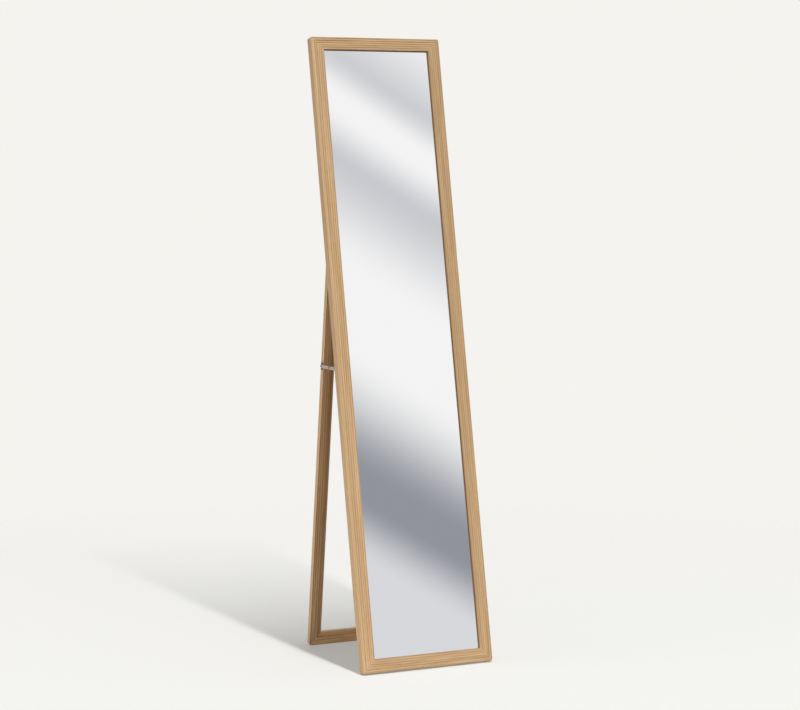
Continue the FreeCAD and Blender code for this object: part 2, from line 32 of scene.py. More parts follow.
# The sockets that a Mix node uses for colours
MIX_FACTOR, MIX_FIRST, MIX_SECOND, MIX_RESULT = 0, 6, 7, 2

# The range that smooth noise seldom leaves
NOISE_LOW, NOISE_HIGH = 0.25, 0.75


def linear(colour: str, shade: float = 1.0) -> tuple[float, float, float, float]:
    """Turns an sRGB hex colour into linear light.

    Args:
        colour: The colour as "#RRGGBB".
        shade: The share of its light that is kept.

    Returns:
        Red, green, blue and an alpha of 1, in linear light.
    """
    channels = []
    for start in (1, 3, 5):
        value = int(colour[start : start + 2], 16) / 255
        channels.append(value / 12.92 if value <= 0.04045 else ((value + 0.055) / 1.055) ** 2.4)
    red, green, blue = (shade * channel for channel in channels)
    return red, green, blue, 1.0


def add_node(
    tree: bpy.types.NodeTree,
    kind: str,
    settings: dict[str, Any] | None = None,
    links: dict[str | int, Any] | None = None,
) -> bpy.types.Node:
    """Adds a shader node with its settings, values and links.

    Args:
        tree: The node tree that gets the node.
        kind: The node's type name.
        settings: The node's own properties.
        links: For each input, the socket that feeds it or the value that it holds.

    Returns:
        The new node.
    """
    node = tree.nodes.new(kind)
    for name, value in (settings or {}).items():
        setattr(node, name, value)
    for socket, source in (links or {}).items():
        if isinstance(source, bpy.types.NodeSocket):
            tree.links.new(source, node.inputs[socket])
        else:
            node.inputs[socket].default_value = source
    return node


def new_surface(name: str) -> tuple[bpy.types.Material, bpy.types.NodeTree, bpy.types.Node]:
    """Starts a material on the principled shader.

    Args:
        name: The material's name.

    Returns:
        The material, its node tree and its principled shader.
    """
    material = bpy.data.materials.new(name)
    material.use_nodes = True
    tree = material.node_tree
    return material, tree, tree.nodes["Principled BSDF"]


def dress_nodes(names: Iterable[str], material: bpy.types.Material) -> None:
    """Gives CAD nodes a material and reports each one.

    Args:
        names: The nodes' names.
        material: What they are finished with.
    """
    for name in names:
        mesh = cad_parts[name].data
        mesh.materials.clear()
        mesh.materials.append(material)
        LOG.info("%s: %s", name, material.name)


class GrainRun(Enum):
    """Which way a member's grain runs in the frame that it belongs to."""

    UPRIGHT = "upright"
    CROSSWISE = "crosswise"


@dataclass(frozen=True)
class MitredLayout:
    """Where a mitred frame lies, so that grain is measured from its outer edges and turns at its corners.

    Attributes:
        half_width: From the middle to the outer edge of an upright, in metres.
        half_height: From the middle to the outer edge of a rail, in metres.
        tilt: The turn about the sideways axis that stands the frame upright, in degrees.
        middle: The frame's middle in the row frame, in metres.
    """

    half_width: float
    half_height: float
    tilt: float
    middle: tuple[float, float, float]

    def rotation(self) -> tuple[float, float, float]:
        """The turn that stands the frame upright, for a Mapping node."""
        return math.radians(self.tilt), 0.0, 0.0

    def location(self) -> Vector:
        """The shift that follows the turn and puts the middle at zero."""
        return -(Matrix.Rotation(math.radians(self.tilt), 3, "X") @ Vector(self.middle))


@dataclass(frozen=True)
class OakVeneer:
    """Straight-grained oak veneer, wrapped along a moulding and lacquered satin.

    Even latewood lines run along each member and turn at the mitres, with finer fibres between them.
    The mitres show as pale seams, the outer arris carries a painted highlight where light catches it, and the
    veneer's cut edge along the glass shows as a darker line, deepened with painted shade where the lip lies
    in shadow. The step's inner corner carries painted shade.

    Attributes:
        name: The material's name.
        layout: The mitred frame that the member is in.
        run: The way of the member's grain.
        shade: How light this length of moulding is, where 1 is the colours as written; partly the length's
            own tone and partly painted light and shade, as light falls on it.
        line_share: The least and the most of the line colour that a line shows.
        cut_edge: How far the cut edge, darkened with painted shade, lies from the outer edge, in metres, or
            None where there is none.
        step: How far the moulding's step lies from the outer edge, in metres, or None where there is none.
        pale: The lightest wood between two lines.
        body: The common colour of the wood.
        warm: The pinker streaks.
        gold: The yellower streaks.
        line: The latewood lines.
        pore: The open pores.
        cut_and_painted_shade: The veneer's cut edge with painted shade where its lip lies in shadow, and the
            painted shade in the step's inner corner.
        wear: The share of the pale wood painted beside the outer arris, a painted highlight where light
            catches it.
        wear_width: The width of that painted highlight, in metres.
        line_pitch: From line to line, in metres.
        line_start: How far the lines are shifted in from the outer edge, in metres.
        line_wander: How far a line strays, in metres.
        streak_length: The length over which a line comes and goes, in metres.
        fibre_width: The width of the fine fibres. Real ones are finer and would not show.
        pore_width: The width of a pore, also drawn coarser than it is.
        seam_width: The width of the pale mitre seam, in metres.
        edge_round: The width over which the veneer darkens into its cut edge and painted shade, in metres.
        step_shade: The width over which the painted shade in the step's inner corner fades, in metres.
        step_depth: How deep the step is cut, in metres.
        drift: How fast the noise changes from place to place, per metre, so that no two members are alike.
        satin: The least and the most roughness of the lacquer.
        pore_depth: How deep a pore is, in metres.
        pore_relief: The share of that depth that the light shows.
    """

    name: str
    layout: MitredLayout
    run: GrainRun
    shade: float = 1.0
    line_share: tuple[float, float] = (0.12, 0.55)
    cut_edge: float | None = None
    step: float | None = None
    pale: str = "#E6C396"
    body: str = "#CDA36F"
    warm: str = "#D5A786"
    gold: str = "#C9A160"
    line: str = "#77522A"
    pore: str = "#7E5C32"
    cut_and_painted_shade: str = "#3F2917"
    wear: float = 0.0
    wear_width: float = 8.0 * MM
    line_pitch: float = 5.6 * MM
    line_start: float = 1.0 * MM
    line_wander: float = 2.0 * MM
    streak_length: float = 260.0 * MM
    fibre_width: float = 1.2 * MM
    pore_width: float = 0.7 * MM
    seam_width: float = 1.4 * MM
    edge_round: float = 0.4 * MM
    step_shade: float = 5.0 * MM
    step_depth: float = 4.0 * MM
    drift: tuple[float, float, float] = (11.0, 0.0, 2.0)
    satin: tuple[float, float] = (0.42, 0.56)
    pore_depth: float = 0.15 * MM
    pore_relief: float = 0.3

    def material(self) -> bpy.types.Material:
        """Builds the veneer.

        Returns:
            The material.
        """
        material, tree, shader = new_surface(self.name)
        place = self.upright_place(tree)
        grain = self.grain_directions(tree, place)
        layers = self.noise_layers(tree, place, grain)
        masks = self.figure(tree, grain, layers)
        colour = linear(self.body, self.shade)
        # The last marks are painted light and shade: a painted highlight on the outer arris, and painted
        # shade along the cut edge under the lip and in the step's inner corner
        for mask, paint in (
            ("fibre", self.pale),
            ("tone", self.pale),
            ("warm", self.warm),
            ("gold", self.gold),
            ("band", self.line),
            ("line", self.line),
            ("pore", self.pore),
            ("painted_arris_highlight", self.pale),
            ("seam", self.pale),
            ("cut_and_painted_shade", self.cut_and_painted_shade),
            ("painted_step_shade", self.cut_and_painted_shade),
        ):
            if mask in masks:
                colour = add_node(
                    tree,
                    "ShaderNodeMix",
                    {"data_type": "RGBA"},
                    {MIX_FACTOR: masks[mask], MIX_FIRST: colour, MIX_SECOND: linear(paint, self.shade)},
                ).outputs[MIX_RESULT]
        smooth, rough = self.satin
        satin = add_node(
            tree,
            "ShaderNodeMapRange",
            links={
                "Value": layers["fibre"],
                "From Min": NOISE_LOW,
                "From Max": NOISE_HIGH,
                "To Min": smooth,
                "To Max": rough,
            },
        )
        bump = add_node(
            tree,
            "ShaderNodeBump",
            {"invert": True},
            {"Height": masks["pore"], "Strength": self.pore_relief, "Distance": self.pore_depth},
        )
        tree.links.new(colour, shader.inputs["Base Color"])
        tree.links.new(satin.outputs["Result"], shader.inputs["Roughness"])
        tree.links.new(bump.outputs["Normal"], shader.inputs["Normal"])
        return material

    def upright_place(self, tree: bpy.types.NodeTree) -> bpy.types.NodeSocket:
        """Turns the object's coordinates so that the mitred frame stands upright with its middle at zero.

        Args:
            tree: The material's nodes.

        Returns:
            The place in the upright frame.
        """
        where = add_node(tree, "ShaderNodeTexCoord")
        place = add_node(
            tree,
            "ShaderNodeMapping",
            {"vector_type": "POINT"},
            {
                "Vector": where.outputs["Object"],
                "Rotation": self.layout.rotation(),
                "Location": self.layout.location(),
            },
        )
        return place.outputs["Vector"]

    def grain_directions(
        self, tree: bpy.types.NodeTree, place: bpy.types.NodeSocket
    ) -> dict[str, bpy.types.NodeSocket]:
        """Measures across and along the member from the mitred frame's outer edges.

        Args:
            tree: The material's nodes.
            place: The place in the upright frame.

        Returns:
            The distances across, along and through the member.
        """
        local = add_node(tree, "ShaderNodeSeparateXYZ", links={"Vector": place})
        inset = {}
        for axis, half in (("X", self.layout.half_width), ("Z", self.layout.half_height)):
            out = add_node(tree, "ShaderNodeMath", {"operation": "ABSOLUTE"}, {0: local.outputs[axis]})
            inset[axis] = add_node(
                tree, "ShaderNodeMath", {"operation": "SUBTRACT"}, {0: half, 1: out.outputs[0]}
            ).outputs[0]
        across, along = ("X", "Z") if self.run is GrainRun.UPRIGHT else ("Z", "X")
        return {"across": inset[across], "along": inset[along], "through": local.outputs["Y"]}

    def noise_layers(
        self,
        tree: bpy.types.NodeTree,
        place: bpy.types.NodeSocket,
        grain: dict[str, bpy.types.NodeSocket],
    ) -> dict[str, bpy.types.NodeSocket]:
        """Draws out noise along the grain at several widths, different on every member.

        Args:
            tree: The material's nodes.
            place: The place in the upright frame.
            grain: The distances across, along and through the member.

        Returns:
            The noise of each layer, by name.
        """
        drawn = add_node(
            tree,
            "ShaderNodeCombineXYZ",
            links={"X": grain["across"], "Y": grain["through"], "Z": grain["along"]},
        ).outputs["Vector"]
        drift = add_node(
            tree, "ShaderNodeVectorMath", {"operation": "DOT_PRODUCT"}, {0: place, 1: self.drift}
        ).outputs["Value"]
        layers = {}
        for layer, width, length, detail in (
            ("wander", 20 * MM, 600 * MM, 1.0),
            ("streak", 5 * MM, self.streak_length, 1.0),
            ("warm", 9 * MM, 350 * MM, 1.0),
            ("gold", 7 * MM, 280 * MM, 1.0),
            ("band", 8 * MM, 500 * MM, 1.0),
            ("fibre", self.fibre_width, 120 * MM, 3.0),
            ("pore", self.pore_width, 20 * MM, 1.0),
            ("tone", 60 * MM, 300 * MM, 1.0),
        ):
            scaled = add_node(
                tree,
                "ShaderNodeVectorMath",
                {"operation": "MULTIPLY"},
                {0: drawn, 1: (1 / width, 1 / width, 1 / length)},
            )
            layers[layer] = add_node(
                tree,
                "ShaderNodeTexNoise",
                {"noise_dimensions": "4D"},
                {"Vector": scaled.outputs["Vector"], "W": drift, "Scale": 1.0, "Detail": detail},
            ).outputs["Fac"]
        return layers

    def figure(
        self,
        tree: bpy.types.NodeTree,
        grain: dict[str, bpy.types.NodeSocket],
        layers: dict[str, bpy.types.NodeSocket],
    ) -> dict[str, bpy.types.NodeSocket]:
        """Works out where the lines, streaks, fibres, pores, seams, painted arris highlight, cut edge with
        its painted shade and the step's painted shade show.

        Args:
            tree: The material's nodes.
            grain: The distances across, along and through the member.
            layers: The noise layers.

        Returns:
            The share of each, by name.
        """
        girth = add_node(
            tree, "ShaderNodeMath", {"operation": "ADD"}, {0: grain["across"], 1: grain["through"]}
        )
        strayed = add_node(
            tree,
            "ShaderNodeMath",
            {"operation": "MULTIPLY_ADD"},
            {0: layers["wander"], 1: self.line_wander, 2: girth.outputs[0]},
        )
        turns = add_node(
            tree,
            "ShaderNodeMath",
            {"operation": "MULTIPLY_ADD"},
            {0: strayed.outputs[0], 1: 1 / self.line_pitch, 2: -self.line_start / self.line_pitch},
        )
        year = add_node(tree, "ShaderNodeMath", {"operation": "FRACT"}, {0: turns.outputs[0]})
        apart = add_node(
            tree, "ShaderNodeMath", {"operation": "SUBTRACT"}, {0: grain["across"], 1: grain["along"]}
        )
        from_seam = add_node(tree, "ShaderNodeMath", {"operation": "ABSOLUTE"}, {0: apart.outputs[0]})
        # Each row: a mask, its source, the range that is read, and the shares at the two ends of the range
        spreads = [
            ("ring", year.outputs[0], 0.15, 0.7, 0.0, 1.0),
            ("end", year.outputs[0], 0.8, 1.0, 1.0, 0.0),
            ("streak", layers["streak"], 0.32, 0.68, *self.line_share),
            ("warm", layers["warm"], 0.4, 0.7, 0.0, 0.4),
            ("gold", layers["gold"], 0.45, 0.7, 0.0, 0.35),
            ("band", layers["band"], 0.4, 0.7, 0.0, 0.08),
            ("fibre", layers["fibre"], 0.3, 0.7, 0.0, 1.0),
            ("tone", layers["tone"], NOISE_LOW, NOISE_HIGH, 0.08, 0.22),
            ("pore", layers["pore"], 0.58, 0.72, 0.0, 0.45),
            ("seam", from_seam.outputs[0], 0.0, self.seam_width, 0.35, 0.0),
        ]
        # Painted highlight: the wood beside the outer arris is made paler where light catches its rounding
        if self.wear:
            spreads += [
                ("arris", grain["across"], 0.0, self.wear_width / 3, 0.0, self.wear),
                ("inwards", grain["across"], self.wear_width / 2, self.wear_width, 1.0, 0.0),
            ]
        # Painted shade: the veneer darkens into its cut edge along the glass, darker still where the lip lies
        # in shadow
        if self.cut_edge is not None:
            spreads.append(("cut_and_painted_shade", grain["across"], self.cut_edge - self.edge_round, self.cut_edge, 0.0, 1.0))
        # Painted shade: the step's recessed inner corner is darkened, fading outwards and towards the back
        if self.step is not None:
            spreads += [
                ("past", grain["across"], self.step - self.seam_width / 4, self.step, 0.0, 1.0),
                ("corner", grain["across"], self.step, self.step + self.step_shade, 0.8, 0.45),
                ("front", grain["through"], self.step_depth, 2 * self.step_depth, 1.0, 0.0),
            ]
        masks = {}
        for mask, source, low, high, least, most in spreads:
            masks[mask] = add_node(
                tree,
                "ShaderNodeMapRange",
                {"interpolation_type": "SMOOTHSTEP"},
                {"Value": source, "From Min": low, "From Max": high, "To Min": least, "To Max": most},
            ).outputs["Result"]
        for mask, whole, *limits in (
            ("line", "ring", "end", "streak"),
            ("painted_arris_highlight", "arris", "inwards"),
            ("painted_step_shade", "past", "corner", "front"),
        ):
            if whole in masks:
                masks[mask] = masks[whole]
                for limit in limits:
                    masks[mask] = add_node(
                        tree, "ShaderNodeMath", {"operation": "MULTIPLY"}, {0: masks[mask], 1: masks[limit]}
                    ).outputs[0]
        return masks


@dataclass(frozen=True)
class SilveredGlass:
    """Float glass silvered on its back: a clear, cool reflection with a trace of wiping.

    Attributes:
        name: The material's name.
        silver: The tint of the reflection.
        wipe_width: The width of a wiping mark, in metres.
        wipe_slant: How far the marks and waves are turned about the upright, in degrees.
        wipe_haze: The most roughness that a mark leaves.
        draw_width: The spacing of the glass's faint draw waves, in metres.
        draw_depth: How deep a wave is, in metres.
        draw_relief: The share of that depth that the reflection shows.
    """

    name: str = "silvered_float_glass"
    silver: str = "#FBFBFB"
    wipe_width: float = 45.0 * MM
    wipe_slant: float = 20.0
    wipe_haze: float = 0.03
    draw_width: float = 240.0 * MM
    draw_depth: float = 1.0 * MM
    draw_relief: float = 0.05

    def material(self) -> bpy.types.Material:
        """Builds the mirror.

        Returns:
            The material.
        """
        material, tree, shader = new_surface(self.name)
        where = add_node(tree, "ShaderNodeTexCoord")
        place = add_node(
            tree,
            "ShaderNodeMapping",
            links={
                "Vector": where.outputs["Object"],
                "Rotation": (0.0, 0.0, math.radians(self.wipe_slant)),
            },
        )
        wiped = add_node(
            tree,
            "ShaderNodeTexNoise",
            links={"Vector": place.outputs["Vector"], "Scale": 1 / self.wipe_width, "Detail": 3.0},
        )
        haze = add_node(
            tree,
            "ShaderNodeMapRange",
            links={"Value": wiped.outputs["Fac"], "From Min": 0.4, "From Max": 0.8, "To Max": self.wipe_haze},
        )
        drawn = add_node(
            tree,
            "ShaderNodeTexNoise",
            links={"Vector": place.outputs["Vector"], "Scale": 1 / self.draw_width, "Detail": 0.0},
        )
        waves = add_node(
            tree,
            "ShaderNodeBump",
            links={
                "Height": drawn.outputs["Fac"],
                "Strength": self.draw_relief,
                "Distance": self.draw_depth,
            },
        )
        tree.links.new(haze.outputs["Result"], shader.inputs["Roughness"])
        tree.links.new(waves.outputs["Normal"], shader.inputs["Normal"])
        shader.inputs["Base Color"].default_value = linear(self.silver)
        shader.inputs["Metallic"].default_value = 1.0
        return material


@dataclass(frozen=True)
class Hardboard:
    """Pressed hardboard: brown, matt and faintly flecked with its fibres.

    Attributes:
        name: The material's name.
        body: The board's common brown.
        fleck: The darker fibres.
        fleck_length: The length of a fibre, in metres.
        fleck_depth: How far a fibre stands out, in metres.
        fleck_relief: The share of that depth that the light shows.
        matt: The least and the most roughness.
    """

    name: str = "hardboard_pressed"
    body: str = "#9B7449"
    fleck: str = "#6F4F30"
    fleck_length: float = 6.0 * MM
    fleck_depth: float = 0.2 * MM
    fleck_relief: float = 0.3
    matt: tuple[float, float] = (0.6, 0.85)

    def material(self) -> bpy.types.Material:
        """Builds the board.

        Returns:
            The material.
        """
        material, tree, shader = new_surface(self.name)
        where = add_node(tree, "ShaderNodeTexCoord")
        fibres = add_node(
            tree,
            "ShaderNodeTexNoise",
            links={
                "Vector": where.outputs["Object"],
                "Scale": 1 / self.fleck_length,
                "Detail": 5.0,
                "Roughness": 0.65,
                "Distortion": 1.5,
            },
        ).outputs["Fac"]
        flecks = add_node(
            tree,
            "ShaderNodeMapRange",
            {"interpolation_type": "SMOOTHSTEP"},
            {"Value": fibres, "From Min": 0.48, "From Max": 0.72},
        )
        colour = add_node(
            tree,
            "ShaderNodeMix",
            {"data_type": "RGBA"},
            {
                MIX_FACTOR: flecks.outputs["Result"],
                MIX_FIRST: linear(self.body),
                MIX_SECOND: linear(self.fleck),
            },
        )
        bump = add_node(
            tree,
            "ShaderNodeBump",
            links={"Height": fibres, "Strength": self.fleck_relief, "Distance": self.fleck_depth},
        )
        smooth, rough = self.matt
        matt = add_node(
            tree, "ShaderNodeMapRange", links={"Value": fibres, "To Min": smooth, "To Max": rough}
        )
        tree.links.new(colour.outputs[MIX_RESULT], shader.inputs["Base Color"])
        tree.links.new(matt.outputs["Result"], shader.inputs["Roughness"])
        tree.links.new(bump.outputs["Normal"], shader.inputs["Normal"])
        return material


@dataclass(frozen=True)
class RolledSteel:
    """Steel strip or wire with a thin zinc coat: a soft grey shine with fine rolling lines and mottle.

    Attributes:
        name: The material's name.
        bright: The clean coat.
        dull: The coat where it has turned.
        roughness: The least roughness of the coat.
        roughness_spread: How much rougher the coat is on a rolling line.
        line_width: The width of a rolling line, in metres.
        line_stretch: How many times longer than wide a line is.
        line_depth: How deep a line is, in metres.
        line_relief: The share of that depth that the light shows.
        mottle_width: The width of a dull patch, in metres.
    """

    name: str
    bright: str
    dull: str
    roughness: float
    roughness_spread: float = 0.2
    line_width: float = 0.5 * MM
    line_stretch: float = 25.0
    line_depth: float = 0.03 * MM
    line_relief: float = 0.15
    mottle_width: float = 5.0 * MM

    def material(self) -> bpy.types.Material:
        """Builds the coated steel.

        Returns:
            The material.
        """
        material, tree, shader = new_surface(self.name)
        where = add_node(tree, "ShaderNodeTexCoord")
        fine = 1 / self.line_width
        rolled = add_node(
            tree,
            "ShaderNodeMapping",
            links={"Vector": where.outputs["Object"], "Scale": (fine, fine / self.line_stretch, fine)},
        )
        lines = add_node(
            tree,
            "ShaderNodeTexNoise",
            links={"Vector": rolled.outputs["Vector"], "Scale": 1.0, "Detail": 2.0},
        ).outputs["Fac"]
        mottle = add_node(
            tree,
            "ShaderNodeTexNoise",
            links={"Vector": where.outputs["Object"], "Scale": 1 / self.mottle_width, "Detail": 3.0},
        ).outputs["Fac"]
        patches = add_node(
            tree,
            "ShaderNodeMapRange",
            {"interpolation_type": "SMOOTHSTEP"},
            {"Value": mottle, "From Min": 0.35, "From Max": 0.75},
        )
        colour = add_node(
            tree,
            "ShaderNodeMix",
            {"data_type": "RGBA"},
            {
                MIX_FACTOR: patches.outputs["Result"],
                MIX_FIRST: linear(self.bright),
                MIX_SECOND: linear(self.dull),
            },
        )
        rough = add_node(
            tree,
            "ShaderNodeMapRange",
            links={
                "Value": lines,
                "To Min": self.roughness,
                "To Max": self.roughness + self.roughness_spread,
            },
        )
        bump = add_node(
            tree,
            "ShaderNodeBump",
            links={"Height": lines, "Strength": self.line_relief, "Distance": self.line_depth},
        )
        tree.links.new(colour.outputs[MIX_RESULT], shader.inputs["Base Color"])
        tree.links.new(rough.outputs["Result"], shader.inputs["Roughness"])
        tree.links.new(bump.outputs["Normal"], shader.inputs["Normal"])
        shader.inputs["Metallic"].default_value = 1.0
        return material


@dataclass
class MirrorFrame:
    """The leaning frame with its glass and back board.

    Attributes:
        width: Over the stiles, in metres.
        height: Over the rails, along the lean, in metres.
        lean: How far it leans back, in degrees.
        foot_y: Where its back meets the floor, in metres.
        sight_edge: From the outer edge to the edge along the glass, in metres.
        dark_edge: From the outer edge to where the top rail's lower edge is darkened with painted shade, in
            metres.
    """

    width: float = 348.0 * MM
    height: float = 1550.0 * MM
    lean: float = 11.4
    foot_y: float = -167.94 * MM
    sight_edge: float = 33.0 * MM
    dark_edge: float = 31.7 * MM

    def layout(self) -> MitredLayout:
        """Where the mouldings lie.

        Returns:
            The layout for the frame's grain.
        """
        rise = Matrix.Rotation(math.radians(-self.lean), 3, "X") @ Vector((0.0, 0.0, self.height / 2))
        middle = Vector((0.0, self.foot_y, 0.0)) + rise
        return MitredLayout(self.width / 2, self.height / 2, self.lean, tuple(middle))

    def dress(self) -> None:
        """Finishes the mouldings, the glass and the board."""
        layout = self.layout()
        # Lit and shaded copies of the veneer, one per length: the right stile is painted darker, the top
        # rail's cut edge darkest as painted shade under its lip, and the left stile's painted arris highlight
        # strongest
        for member, run, shade, line_share, cut_edge, cut_and_painted_shade, wear in (
            ("left_stile", GrainRun.UPRIGHT, 1.0, (0.3, 0.52), self.sight_edge, "#A88558", 0.3),
            ("right_stile", GrainRun.UPRIGHT, 0.88, (0.26, 0.42), self.sight_edge, "#896028", 0.1),
            ("top_rail", GrainRun.CROSSWISE, 1.0, (0.52, 0.72), self.dark_edge, "#3A2616", 0.1),
            ("bottom_rail", GrainRun.CROSSWISE, 0.9, (0.28, 0.44), self.sight_edge, "#B48F60", 0.2),
        ):
            veneer = OakVeneer(
                name="oak_veneer_satin_" + member,
                layout=layout,
                run=run,
                shade=shade,
                line_share=line_share,
                cut_edge=cut_edge,
                cut_and_painted_shade=cut_and_painted_shade,
                wear=wear,
            )
            dress_nodes([member], veneer.material())
        dress_nodes(["mirror_pane"], SilveredGlass().material())
        dress_nodes(["back_board"], Hardboard().material())


@dataclass
class RearLeg:
    """The folding leg: two posts and a bottom rail.

    Attributes:
        width: Over the posts, in metres.
        length: From the hinge line to the foot, in metres.
        splay: How far the leg stands back from upright, in degrees.
        hinge_y: The hinge line's place behind the middle, in metres.
        hinge_z: The hinge line's height, in metres.
        step: From the outer edge to the moulding's step, in metres.
    """

    width: float = 318.0 * MM
    length: float = 1015.13 * MM
    splay: float = 7.45
    hinge_y: float = 37.60 * MM
    hinge_z: float = 1006.23 * MM
    step: float = 19.5 * MM

    def layout(self) -> MitredLayout:
        """Where the mouldings lie.

        Returns:
            The layout for the leg's grain.
        """
        middle = (0.0, self.hinge_y, self.hinge_z)
        return MitredLayout(self.width / 2, self.length, -self.splay, middle)

    def dress(self) -> None:
        """Finishes the posts and the rail."""
        layout = self.layout()
        # Lit and shaded copies of the veneer: the foot rail is painted lighter, standing in for the light
        # near the floor, and the posts carry painted shade in the step's inner corner
        for name, run, shade, step, members in (
            ("post", GrainRun.UPRIGHT, 0.95, self.step, ["leg_left_post", "leg_right_post"]),
            ("foot_rail", GrainRun.CROSSWISE, 1.2, None, ["leg_bottom_rail"]),
        ):
            veneer = OakVeneer("oak_veneer_satin_" + name, layout, run, shade=shade, step=step)
            dress_nodes(members, veneer.material())


@dataclass
class Ironmongery:
    """The hinges, the folding stays and every fastener.

    Attributes:
        sides: The names of the two sides.
        links: The zinc-coated links on each side.
        plates: The darker leaves, brackets and plates on each side.
        turned: The rivets and pins on each side.
        fasteners: The groups of screws, nails and points.
    """

    sides: tuple[str, ...] = ("left", "right")
    links: tuple[str, ...] = ("stay_{}_front_link", "stay_{}_rear_link")
    plates: tuple[str, ...] = (
        "hinge_{}_frame_leaf",
        "hinge_{}_leg_leaf",
        "stay_{}_frame_bracket",
        "stay_{}_leg_plate",
    )
    turned: tuple[str, ...] = (
        "hinge_{}_pin",
        "stay_{}_frame_rivet",
        "stay_{}_leg_rivet",
        "stay_{}_middle_rivet",
    )
    fasteners: tuple[str, ...] = (
        "hinge_frame_screws",
        "hinge_leg_screws",
        "stay_frame_screws",
        "stay_leg_screws",
        "frame_corner_nails",
        "leg_corner_nails",
        "glazing_points",
    )

    def dress(self) -> None:
        """Finishes the links bright and the plates and fasteners darker."""
        # The links shine softly, the plates are a darker grey, and rivets and screws are nearly black
        zinc = RolledSteel("zinc_coated_strip", "#BCAFA1", "#A09387", roughness=0.36).material()
        dull = RolledSteel("darker_zinc_strip", "#7A7067", "#5C544D", roughness=0.42).material()
        wire = RolledSteel("darker_zinc_wire", "#423B34", "#2E2924", roughness=0.42).material()
        for names, finish in ((self.links, zinc), (self.plates, dull), (self.turned, wire)):
            dress_nodes([name.format(side) for side in self.sides for name in names], finish)
        dress_nodes(self.fasteners, wire)


@dataclass(frozen=True)
class ReflectionFlag:
    """A grey band on the studio screen that the mirror reflects.

    Attributes:
        tone: The band's colour.
        fade_in: Where it begins and where it is full, in metres across the bands.
        fade_out: Where it begins to go and where it has gone.
    """

    tone: str
    fade_in: tuple[float, float]
    fade_out: tuple[float, float]


@dataclass(frozen=True)
class SoftLamp:
    """A rectangular soft lamp whose light doesn't fall off with distance and that no reflection shows.

    Attributes:
        name: The lamp's name.
        place: Its middle, in metres.
        aim: The point that its face is turned to, in metres.
        size: Its width and height, in metres.
        power: Its power, in watts.
        tint: The colour of its light.
    """

    name: str
    place: tuple[float, float, float]
    aim: tuple[float, float, float]
    size: tuple[float, float]
    power: float
    tint: str

    def build(self) -> None:
        """Hangs the lamp."""
        lamp = bpy.data.lights.new(self.name, "AREA")
        lamp.shape = "RECTANGLE"
        lamp.size, lamp.size_y = self.size
        lamp.energy = self.power
        lamp.color = linear(self.tint)[:3]
        lamp.use_nodes = True
        tree = lamp.node_tree
        even = add_node(tree, "ShaderNodeLightFalloff", links={"Strength": 1.0})
        tree.links.new(even.outputs["Constant"], tree.nodes["Emission"].inputs["Strength"])
        holder = bpy.data.objects.new(self.name, lamp)
        bpy.context.scene.collection.objects.link(holder)
        holder.location = self.place
        aim = Vector(self.aim) - Vector(self.place)
        holder.rotation_euler = aim.to_track_quat("-Z", "Y").to_euler()
        holder.visible_glossy = False


@dataclass(frozen=True)
class LampRow:
    """Soft lamps in a slanted row overhead, each turned to the object, whose shadows run into one.

    Attributes:
        name: What the lamps' names begin with.
        first: The row's lower end, in metres.
        last: Its upper end, in metres.
        count: The number of lamps.
        aim: The point that they are turned to, in metres.
        size: The width and height of each, in metres.
        power: The power of the whole row, in watts.
        tint: The colour of its light.
    """

    name: str
    first: tuple[float, float, float]
    last: tuple[float, float, float]
    count: int
    aim: tuple[float, float, float]
    size: tuple[float, float]
    power: float
    tint: str

    def build(self) -> None:
        """Hangs the lamps."""
        for index in range(self.count):
            place = Vector(self.first).lerp(Vector(self.last), (index + 0.5) / self.count)
            name = f"{self.name}_{index}"
            SoftLamp(name, tuple(place), self.aim, self.size, self.power / self.count, self.tint).build()


